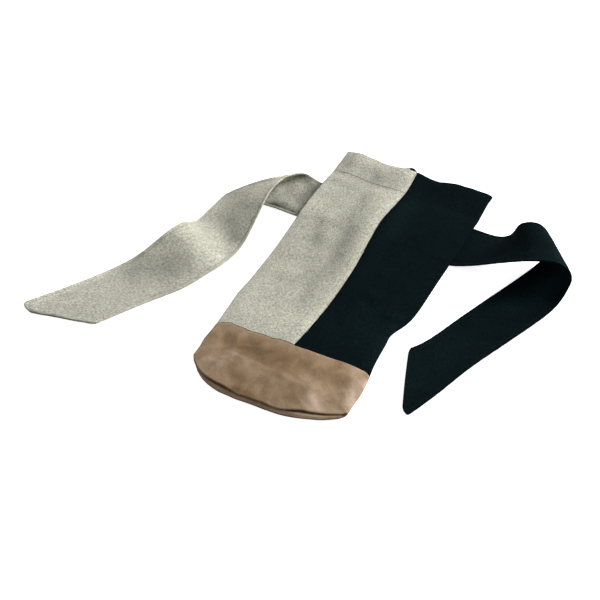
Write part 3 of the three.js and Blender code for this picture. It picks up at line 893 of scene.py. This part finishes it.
    def seams(self, start, end):
        """Stitch lines on both sides of a stretch: points and outward normals."""
        first, last = self.rows_between(start, end)
        inset = int(np.argmin(np.abs(TIE_COLUMNS - STITCH_INSET)))
        return [(surface[first:last, column], sign * self.normal[first:last, column])
                for column in (inset, self.columns - 1 - inset)
                for surface, sign in ((self.upper, 1), (self.lower, -1))]


# Stitches

# A stitch's rings: how high the thread arches at each, and how thick it is there, in radii of the thread.
STITCH_ARCH = (-0.75, 0.25, 0.55, 0.25, -0.75)
STITCH_THICKNESS = (0.55, 0.95, 1, 0.95, 0.55)

# How many sides the thread has, how wide each lies on the flat cloth, its lowest point above the table and
# how far in the hem's row starts.
STITCH_SIDES = 6
STITCH_SIDE_CLOTH = 0.35
STITCH_LOWEST = 0.03
HEM_ENDS_BARE = 1.6


def stitch_mesh(lines, length, gap, radius, skip_ends=1.0):
    """Short arched threads along lines of points and normals, whose ends stay bare."""
    points, faces, places = [], [], []
    rings = len(STITCH_ARCH)
    angles = 2 * math.pi * np.arange(STITCH_SIDES) / STITCH_SIDES
    for line, normal in lines:
        walked = lengths_along(line, 0)
        for i in range(int((walked[-1] - 2 * skip_ends) // (length + gap))):
            at = skip_ends + i * (length + gap) + length * np.linspace(0, 1, rings)
            centre, up = (np.stack([np.interp(at, walked, values[:, axis]) for axis in range(3)], axis=-1)
                          for values in (line, normal))
            up = unit(up)
            beside = unit(np.cross(unit(np.gradient(centre, axis=0)), up))
            base = len(points)
            for ring, (arch, thick) in enumerate(zip(STITCH_ARCH, STITCH_THICKNESS)):
                for angle in angles:
                    offset = beside[ring] * math.cos(angle) + up[ring] * math.sin(angle)
                    points.append(centre[ring] + up[ring] * arch * radius + offset * (radius * thick))
            for wall in ring_walls(rings, STITCH_SIDES):
                faces.append([base + ring * STITCH_SIDES + side % STITCH_SIDES for ring, side in wall])
                places.extend((side * STITCH_SIDE_CLOTH, at[ring]) for ring, side in wall)
    points = np.array(points)
    points[:, 2] = np.maximum(points[:, 2], STITCH_LOWEST)
    return outward(points, faces, places)


# Materials

# How far a linen thread strays from straight, the distances between threads in the two linens and the
# length of one twist of the sewing thread, in metres.
THREAD_WAVER = 0.0012
NATURAL_WEAVE = 0.00062
BLACK_WEAVE = 0.00052
THREAD_TWIST = 0.0011


class Wire:
    """A number, colour or vector that varies over a surface. Arithmetic on it adds Math nodes."""

    def __init__(self, nodes, node, output=0):
        self.nodes = nodes
        self.node = node
        self.output = output

    @property
    def socket(self):
        return self.node.outputs[self.output]

    def __getitem__(self, output):
        """Another output of the same node."""
        return Wire(self.nodes, self.node, output)

    def __add__(self, other):
        return self.nodes.math("ADD", self, other)

    def __radd__(self, other):
        return self.nodes.math("ADD", other, self)

    def __sub__(self, other):
        return self.nodes.math("SUBTRACT", self, other)

    def __rsub__(self, other):
        return self.nodes.math("SUBTRACT", other, self)

    def __mul__(self, other):
        return self.nodes.math("MULTIPLY", self, other)

    def __rmul__(self, other):
        return self.nodes.math("MULTIPLY", other, self)

    def __truediv__(self, other):
        return self.nodes.math("DIVIDE", self, other)

    def __pow__(self, other):
        return self.nodes.math("POWER", self, other)


class Nodes:
    """A node tree, emptied, and the nodes that are added to it."""

    def __init__(self, tree):
        self.tree = tree
        tree.nodes.clear()

    def feed(self, socket, value):
        """Links a socket, or sets its value."""
        if isinstance(value, Wire):
            self.tree.links.new(value.socket, socket)
        else:
            socket.default_value = value

    def node(self, kind, settings=None, sockets=None, output=0):
        """Any node, from its type, its settings and the values or links of its sockets."""
        node = self.tree.nodes.new(kind)
        for name, value in (settings or {}).items():
            setattr(node, name, value)
        for name, value in (sockets or {}).items():
            socket = node.inputs[name] if isinstance(name, int) else next(
                socket for socket in node.inputs if name in (socket.identifier, socket.name))
            self.feed(socket, value)
        return Wire(self, node, output)

    def math(self, operation, *values):
        """What one operation makes of these numbers."""
        return self.node("ShaderNodeMath", {"operation": operation}, dict(enumerate(values)))

    def vector(self, x, y, z=0.0):
        """A vector or a colour from its parts."""
        return self.node("ShaderNodeCombineXYZ", None, {0: x, 1: y, 2: z})

    def noise(self, vector, scale, detail=2.0, roughness=0.5):
        """Soft noise in two directions, with scale waves to the unit."""
        return self.node("ShaderNodeTexNoise", {"noise_dimensions": "2D"},
                         {"Vector": vector, "Scale": scale, "Detail": detail, "Roughness": roughness})

    def between(self, value, low, high):
        """0 at low, 1 at high, held at the ends."""
        return self.node("ShaderNodeMapRange", {"interpolation_type": "SMOOTHSTEP"},
                         {"Value": value, "From Min": low, "From Max": high})

    def blend(self, share, start, end):
        """A colour between two others."""
        start, end = (colour if isinstance(colour, Wire) else (*colour, 1.0) for colour in (start, end))
        return self.node("ShaderNodeMix", {"data_type": "RGBA"},
                         {"Factor_Float": share, "A_Color": start, "B_Color": end}, output=2)

    def tinted(self, colour, tint):
        """A colour multiplied by a number or by another colour."""
        if isinstance(tint, Wire) and tint.node.type not in ("MIX", "COMBXYZ"):
            tint = self.vector(tint, tint, tint)
        return self.node("ShaderNodeVectorMath", {"operation": "MULTIPLY"}, {0: colour, 1: tint})


class Finish(Nodes):
    """One material of the bag, with places read from the flat cloth."""

    def __init__(self, name, roughness, **surface):
        self.material = bpy.data.materials.new(name)
        self.material.use_nodes = True
        super().__init__(self.material.node_tree)
        self.surface = self.node("ShaderNodeBsdfPrincipled", None, {"Roughness": roughness, **surface})
        self.node("ShaderNodeOutputMaterial", None, {"Surface": self.surface})

    def set(self, name, value):
        """Sets or links one of the surface's own sockets."""
        self.feed(self.surface.node.inputs[name], value)

    def cloth_place(self):
        """The place on the flat cloth, with its distances across and along."""
        place = self.node("ShaderNodeUVMap", {"uv_map": CLOTH_MAP})
        parts = self.node("ShaderNodeSeparateXYZ", None, {0: place})
        return place, parts["X"], parts["Y"]

    def shade(self):
        """The painted light and shade that the folds leave, 0 where there is none."""
        return self.node("ShaderNodeAttribute", {"attribute_name": SHADE})["Fac"]

    def bump(self, height, distance, strength=1.0):
        """Raises the surface by height times distance, in metres."""
        self.set("Normal", self.node("ShaderNodeBump", None,
                                     {"Strength": strength, "Distance": distance, "Height": height}))


def linen(name, middle, light, dark, fleck, casts, weave, **surface):
    """Plain woven linen: slubbed warp and weft threads, heathered streaks and soft tonal clouds.

    light and dark multiply the middle tone's parts, casts are the two tints that it wanders between, and
    weave is the distance between threads.
    """
    finish = Finish(name, 0.92, **surface)
    place, across, along = finish.cloth_place()
    turned = finish.vector(along, across)
    u = (across + (finish.noise(place, 90, 1) - 0.5) * THREAD_WAVER) / weave
    v = (along + (finish.noise(turned, 90, 1) - 0.5) * THREAD_WAVER) / weave
    warp, weft = (finish.math("SINE", threads * math.pi) for threads in (u, v))
    warp_round, weft_round = (finish.math("ABSOLUTE", wave) ** 0.7 for wave in (warp, weft))
    warp_on_top = finish.between(warp * weft, -0.12, 0.12)
    warp_number, weft_number = (finish.math("FLOOR", threads) for threads in (u, v))
    warp_slub = finish.noise(finish.vector(warp_number * 3.7, v * 0.045), 1.0, 2.0, 0.6)
    weft_slub = finish.noise(finish.vector(u * 0.045, weft_number * 3.7), 1.0, 2.0, 0.6)
    slub = warp_slub * warp_on_top + weft_slub * (1 - warp_on_top)
    height = (warp_round * (0.55 + 0.45 * weft_round) * warp_on_top
              + weft_round * (0.55 + 0.45 * warp_round) * (1 - warp_on_top))
    height = height * (0.55 + 0.9 * slub)
    streaks_along = finish.noise(finish.vector(across * 1250, along * 330), 1.0, 2.0, 0.7)
    streaks_across = finish.noise(finish.vector(across * 330, along * 1250), 1.0, 2.0, 0.7)
    heather = finish.noise(finish.vector(u * 0.95, v * 0.95), 1.0, 1.0)
    clouds = finish.noise(place, 82, 2.0, 0.55)
    patches = finish.noise(place, 22, 1.0)
    tone = (0.5 + (streaks_along + streaks_across - 1) * 3.2 + (heather - 0.5) * 2.3
            + (slub - 0.5) * 1.6 + (clouds - 0.5) * 0.5 + (patches - 0.5) * 0.3)
    colour = finish.blend(finish.between(tone, 0.08, 0.92), scaled(middle, dark), scaled(middle, light))
    speck = finish.between(finish.noise(finish.vector(u * 0.9, v * 0.9), 1.0, 1.0), 0.66, 0.78)
    colour = finish.blend(speck * 0.5, colour, fleck)
    cast = finish.between(finish.noise(finish.vector(along + 3, across), 120, 2.0, 0.6), 0.3, 0.7)
    colour = finish.tinted(colour, finish.blend(cast, *casts))
    # Painted shade in the hollows between threads, and the painted light and shade of the folds.
    valley = 0.78 + 0.22 * finish.between(height, 0.05, 0.5)
    finish.set("Base Color", finish.tinted(colour, valley * (1 + finish.shade())))
    finish.set("Roughness", 0.96 - 0.12 * height)
    finish.bump(height + (clouds - 0.5) * 0.8, 0.00022, 0.8)
    return finish.material


def suede(name, middle, light, dark, rubbed, **surface):
    """Brushed suede: mottled nap that lies in soft patches, fine fibres and paler rubbed places."""
    finish = Finish(name, 0.9, **surface)
    place, across, along = finish.cloth_place()
    drift = (finish.noise(place, 40, 2.0) - 0.5) * 0.016
    bent = finish.vector(across + drift, along + drift)
    patches = finish.noise(bent, 52, 1.0, 0.4)
    clouds = finish.noise(bent, 125, 2.0, 0.5)
    brushed = finish.noise(finish.vector(across, along * 0.35), 900, 2.0, 0.7)
    fibres = finish.noise(finish.vector(across, along * 0.6), 2600, 2.0, 0.7)
    tone = (0.5 + (patches - 0.5) * 0.85 + (clouds - 0.5) * 0.45
            + (brushed - 0.5) * 0.55 + (fibres - 0.5) * 0.6)
    colour = finish.blend(finish.between(tone, 0.05, 0.95), scaled(middle, dark), scaled(middle, light))
    worn = finish.between(finish.noise(bent, 90, 2.0, 0.5), 0.55, 0.8)
    colour = finish.blend(worn * 0.35, colour, rubbed)
    # Painted light and shade of the folds, paler where lit and browner where shaded.
    lit = 1 + finish.shade()
    finish.set("Base Color", finish.tinted(colour, finish.vector(lit, lit ** 1.2, lit ** 1.6)))
    finish.set("Roughness", 0.97 - 0.1 * patches)
    finish.bump(fibres * 0.8 + brushed * 0.5 + clouds * 0.8, 0.00025, 0.8)
    return finish.material


def thread(name, colour, dark):
    """Twisted sewing thread."""
    finish = Finish(name, 0.8, **{"Sheen Weight": 0.02, "Specular IOR Level": 0.15})
    _, across, along = finish.cloth_place()
    twist = (along * 2 + across) * (2 * math.pi / THREAD_TWIST)
    # Painted shade in the grooves of the twist, lighter on its ridges.
    lit = finish.between(finish.math("SINE", twist), -0.9, 0.7)
    finish.set("Base Color", finish.blend(lit, dark, colour))
    finish.bump(lit, 0.00008, 0.7)
    return finish.material


def scaled(colour, shares):
    """A colour with each part multiplied by its own share."""
    return tuple(part * share for part, share in zip(colour, shares))


MATERIALS = {}


def finish_named(name):
    """The bag's materials, each made when it is first used."""
    if name not in MATERIALS:
        colours = bpy.context.scene.bottle_bag_colours
        makers = {
            "natural linen": lambda: linen(
                name, colours.natural_linen, (1.29, 1.3, 1.33), (0.66, 0.645, 0.595), srgb(112, 104, 86),
                ((1.015, 0.995, 0.985), (0.985, 1.005, 1.0)), NATURAL_WEAVE,
                **{"Sheen Weight": 0.05, "Sheen Roughness": 0.45, "Specular IOR Level": 0.2}),
            "black linen": lambda: linen(
                name, colours.black_linen, (1.5, 1.5, 1.5), (0.6, 0.6, 0.6), srgb(20, 30, 32),
                ((1.04, 1, 0.98), (0.94, 1, 1.03)), BLACK_WEAVE,
                **{"Sheen Weight": 0.005, "Sheen Roughness": 0.35, "Sheen Tint": (0.3, 0.6, 1, 1),
                   "Specular IOR Level": 0.012}),
            "tan suede": lambda: suede(
                name, colours.suede, (1.3, 1.33, 1.4), (0.72, 0.685, 0.62), srgb(172, 151, 127),
                **{"Sheen Weight": 0.08, "Sheen Roughness": 0.5, "Sheen Tint": (0.8, 0.75, 0.68, 1),
                   "Specular IOR Level": 0.2}),
            "natural thread": lambda: thread(name, srgb(150, 142, 122), srgb(96, 88, 72)),
            "black thread": lambda: thread(name, srgb(6, 16, 18), srgb(2, 7, 9)),
        }
        MATERIALS[name] = makers[name]()
    return MATERIALS[name]


# Settings

class BottleBagSizes(bpy.types.PropertyGroup):
    linen_thickness: bpy.props.FloatProperty(
        name="Linen", description="Thickness of one layer of linen", default=0.0009, unit="LENGTH")
    suede_thickness: bpy.props.FloatProperty(
        name="Suede", description="Thickness of the suede band", default=0.0012, unit="LENGTH")
    hem_depth: bpy.props.FloatProperty(
        name="Hem depth", description="Depth of the doubled hem at the mouth", default=0.036, unit="LENGTH")
    fold_radius: bpy.props.FloatProperty(
        name="Side fold", description="Radius of the tube's side folds", default=0.0022, unit="LENGTH")
    fullness: bpy.props.FloatProperty(
        name="Fullness", description="How much air the flat tube holds", default=1.0, subtype="FACTOR")
    stitch_length: bpy.props.FloatProperty(
        name="Stitch", description="Length of a visible stitch", default=0.0024, unit="LENGTH")
    stitch_gap: bpy.props.FloatProperty(
        name="Stitch gap", description="Space between two stitches", default=0.0007, unit="LENGTH")
    thread_radius: bpy.props.FloatProperty(
        name="Thread", description="Radius of the sewing thread", default=0.0002, unit="LENGTH")


class BottleBagColours(bpy.types.PropertyGroup):
    natural_linen: bpy.props.FloatVectorProperty(
        name="Natural linen", description="Middle tone of the natural linen", subtype="COLOR",
        default=srgb(191, 190, 176), min=0, max=1)
    black_linen: bpy.props.FloatVectorProperty(
        name="Black linen", description="Middle tone of the black linen", subtype="COLOR",
        default=srgb(8.2, 18, 20), min=0, max=1)
    suede: bpy.props.FloatVectorProperty(
        name="Suede", description="Middle tone of the suede", subtype="COLOR",
        default=srgb(144, 121, 96), min=0, max=1)
    table: bpy.props.FloatVectorProperty(
        name="Table", description="Colour of the pale table", subtype="COLOR",
        default=(0.78, 0.78, 0.78), min=0, max=1)


def sizes():
    """The sizes that are set in the sidebar."""
    return bpy.context.scene.bottle_bag_sizes


# Operators

class MakePiece:
    """What the operators share."""

    bl_options = {"REGISTER", "UNDO"}

    @staticmethod
    def stitched(name, lines, colour, **options):
        """Stitches along lines, in one colour's thread."""
        size = sizes()
        lengths = (size.stitch_length / MM, size.stitch_gap / MM, size.thread_radius / MM)
        return new_piece(name, *stitch_mesh(lines, *lengths, **options), finish_named(f"{colour} thread"))

    @staticmethod
    def on_bag(name, walls, material, shade, node, slot):
        """A closed piece of the bag's own body, in place of the CAD model's node."""
        piece = new_piece(name, *outward(*walls), finish_named(material), shade=shade)
        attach(piece, "bag")
        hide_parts(node)
        return piece

    def linen_half(self, colour, side):
        """One half of the tube with the stitches of its hem."""
        tube = Tube(sizes())
        face, back, cloth, shade = linen_half(tube, side)
        half = self.on_bag(f"{colour}_half", shell(face, back, cloth), f"{colour} linen", shade,
                           f"{colour}_panel", f"{colour}_linen")
        row = int(np.argmin(np.abs(face[:, 0, 1] - tube.stitch_line)))
        line = (face[row], normals_of(face)[row] * side)
        hem = self.stitched(f"{colour}_half_hem_stitches", [line], colour, skip_ends=HEM_ENDS_BARE)
        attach(hem, "bag")
        girth = float(np.ptp(cloth[..., 0]))
        length = MOUTH - BAND_SEAM + tube.hem_depth
        length * MM

    def tie(self, colour, tie, stretches):
        """The stretches of one tie, each with its stitches."""
        for part, start, end, shade, bodies, *bend in stretches:
            name = f"{colour}_tie_{part}_cloth"
            cloth = tie.stretch(name, start, end, finish_named(f"{colour} linen"), shade)
            stitches = self.stitched(f"{name}_stitches", tie.seams(start, end), colour)
            for piece in (cloth, stitches):
                if bend:
                    bend[0]
                    bend[1]
                    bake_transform(piece)
                else:
                    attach(piece, *bodies)
            if part != "roll":
                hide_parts(f"{colour}_tie_{part}")
            tie.size_between(start, end)


class BOTTLEBAG_OT_natural_half(MakePiece, bpy.types.Operator):
    """Make the natural linen half of the tube with its hem"""

    bl_idname = "bottle_bag.natural_half"
    bl_label = "Natural half"

    def execute(self, context):
        self.linen_half("natural", -1)
        return {"FINISHED"}


class BOTTLEBAG_OT_black_half(MakePiece, bpy.types.Operator):
    """Make the black linen half of the tube with its hem"""

    bl_idname = "bottle_bag.black_half"
    bl_label = "Black half"

    def execute(self, context):
        self.linen_half("black", 1)
        return {"FINISHED"}


class BOTTLEBAG_OT_base(MakePiece, bpy.types.Operator):
    """Make the suede band and the base panel folded inside it"""

    bl_idname = "bottle_bag.base"
    bl_label = "Suede base"

    def execute(self, context):
        tube = Tube(sizes())
        face, back, cloth, shade = band_ring(tube)
        band = self.on_bag("suede_band", shell(face, back, cloth, ring=True), "tan suede", shade,
                           "base_band", "suede")
        girth = float(cloth[0, -1, 0])
        height = float(-cloth[-1, :, 1].mean())
        face, back, cloth, shade = base_fold(tube)
        base = self.on_bag("base_panel_fold", shell(face, back, cloth), "tan suede",
                           np.concatenate([shade, shade]), "base_panel", "suede")
        width, depth = float(cloth[:, -1, 0].mean()), float(cloth[-1, :, 1].mean())
        return {"FINISHED"}


class BOTTLEBAG_OT_natural_tie(MakePiece, bpy.types.Operator):
    """Make the natural linen tie, folded over itself"""

    bl_idname = "bottle_bag.natural_tie"
    bl_label = "Natural tie"

    def execute(self, context):
        tie = Tie(-1, NATURAL_ROUTE, NATURAL_CORNERS, NATURAL_TIE_SHADES)
        self.tie("natural", tie, NATURAL_STRETCHES)
        return {"FINISHED"}


class BOTTLEBAG_OT_black_tie(MakePiece, bpy.types.Operator):
    """Make the black linen tie, arched and folded back under itself"""

    bl_idname = "bottle_bag.black_tie"
    bl_label = "Black tie"

    def execute(self, context):
        tie = Tie(1, BLACK_ROUTE, BLACK_CORNERS, BLACK_TIE_SHADES)
        self.tie("black", tie, BLACK_STRETCHES)
        return {"FINISHED"}


# Stage

# The camera, in metres and degrees, with its lens and sensor in millimetres.
CAMERA_TARGET = Vector((-0.0265, 0.09287, 0.0))
CAMERA_DISTANCE = 1.7786
CAMERA_AZIMUTH = 26.109
CAMERA_ELEVATION = 43.387
CAMERA_LENS = 120.0
CAMERA_SENSOR = 36.0

# The table's half width, how bright it looks to the camera, the sky's light and the lamp.
TABLE_REACH = 4.0
TABLE_GLOW = 0.84
SKY_LIGHT = 0.33
LAMP_PLACE = (1.1, 1.65, 1.15)
LAMP_TARGET = (0, 0.12, 0)
LAMP_SIZE = 1.2
LAMP_POWER = 84.0


def aimed(thing, place, target):
    """Puts a lamp or a camera at a place and turns it towards its target."""
    thing.location = place
    thing.rotation_mode = "QUATERNION"
    thing.rotation_quaternion = (Vector(place) - Vector(target)).to_track_quat("Z", "Y")


class BOTTLEBAG_OT_stage(bpy.types.Operator):
    """Make the table, the lights and the camera"""

    bl_idname = "bottle_bag.stage"
    bl_label = "Table, lights and camera"

    def execute(self, context):
        scene = context.scene
        scene.view_settings.view_transform = "Standard"
        self.table(scene)
        self.sky(scene)
        self.lamp(scene)
        camera = bpy.data.objects.new("camera", bpy.data.cameras.new("camera"))
        camera.data.lens = CAMERA_LENS
        camera.data.sensor_width = CAMERA_SENSOR
        azimuth, elevation = math.radians(CAMERA_AZIMUTH), math.radians(CAMERA_ELEVATION)
        back = Vector((math.sin(azimuth) * math.cos(elevation), -math.cos(azimuth) * math.cos(elevation),
                       math.sin(elevation)))
        aimed(camera, CAMERA_TARGET + back * CAMERA_DISTANCE, CAMERA_TARGET)
        scene.collection.objects.link(camera)
        scene.camera = camera
        return {"FINISHED"}

    @staticmethod
    def table(scene):
        mesh = bpy.data.meshes.new("table")
        corners = [(x * TABLE_REACH, y * TABLE_REACH, 0) for x, y in ((-1, -1), (1, -1), (1, 1), (-1, 1))]
        mesh.from_pydata(corners, [], [(0, 1, 2, 3)])
        table = bpy.data.objects.new("table", mesh)
        scene.collection.objects.link(table)
        finish = Finish("pale table", 0.9)
        finish.set("Base Color", (*scene.bottle_bag_colours.table, 1))
        glow = TABLE_GLOW * finish.node("ShaderNodeLightPath")["Is Camera Ray"]
        finish.set("Emission Color", finish.vector(glow, glow, glow))
        finish.set("Emission Strength", 1.0)
        mesh.materials.append(finish.material)

    @staticmethod
    def sky(scene):
        world = bpy.data.worlds.new("soft sky")
        scene.world = world
        world.use_nodes = True
        nodes = Nodes(world.node_tree)
        seen = nodes.node("ShaderNodeLightPath")
        through_glass = nodes.math("MAXIMUM", seen["Is Glossy Ray"], seen["Is Transmission Ray"])
        bare = nodes.math("MAXIMUM", seen["Is Camera Ray"], through_glass)
        light = nodes.node("ShaderNodeBackground", None,
                           {"Color": (1, 1, 1, 1), "Strength": SKY_LIGHT + (1 - SKY_LIGHT) * bare})
        nodes.node("ShaderNodeOutputWorld", None, {"Surface": light})

    @staticmethod
    def lamp(scene):
        light = bpy.data.lights.new("window_light", "AREA")
        light.size = LAMP_SIZE
        light.energy = LAMP_POWER
        lamp = bpy.data.objects.new("window_light", light)
        scene.collection.objects.link(lamp)
        aimed(lamp, LAMP_PLACE, LAMP_TARGET)


class BOTTLEBAG_PT_panel(bpy.types.Panel):
    """The bag's sizes, colours and pieces"""

    bl_idname = "BOTTLEBAG_PT_panel"
    bl_label = "Bottle bag"
    bl_space_type = "VIEW_3D"
    bl_region_type = "UI"
    bl_category = "Bottle bag"

    def draw(self, context):
        for group in (context.scene.bottle_bag_sizes, context.scene.bottle_bag_colours):
            box = self.layout.box()
            for name in group.__annotations__:
                box.prop(group, name)
        for maker in MAKERS:
            self.layout.operator(maker.bl_idname)


MAKERS = (BOTTLEBAG_OT_natural_half, BOTTLEBAG_OT_black_half, BOTTLEBAG_OT_base, BOTTLEBAG_OT_natural_tie,
          BOTTLEBAG_OT_black_tie, BOTTLEBAG_OT_stage)
CLASSES = (BottleBagSizes, BottleBagColours, *MAKERS, BOTTLEBAG_PT_panel)


def register():
    for item in CLASSES:
        bpy.utils.register_class(item)
    bpy.types.Scene.bottle_bag_sizes = bpy.props.PointerProperty(type=BottleBagSizes)
    bpy.types.Scene.bottle_bag_colours = bpy.props.PointerProperty(type=BottleBagColours)


def unregister():
    del bpy.types.Scene.bottle_bag_colours
    del bpy.types.Scene.bottle_bag_sizes
    for item in reversed(CLASSES):
        bpy.utils.unregister_class(item)


def main():
    """Makes every piece."""
    register()
    for name in ("natural_half", "black_half", "base", "natural_tie", "black_tie", "stage"):
        getattr(bpy.ops.bottle_bag, name)()


if __name__ == "__main__":
    main()
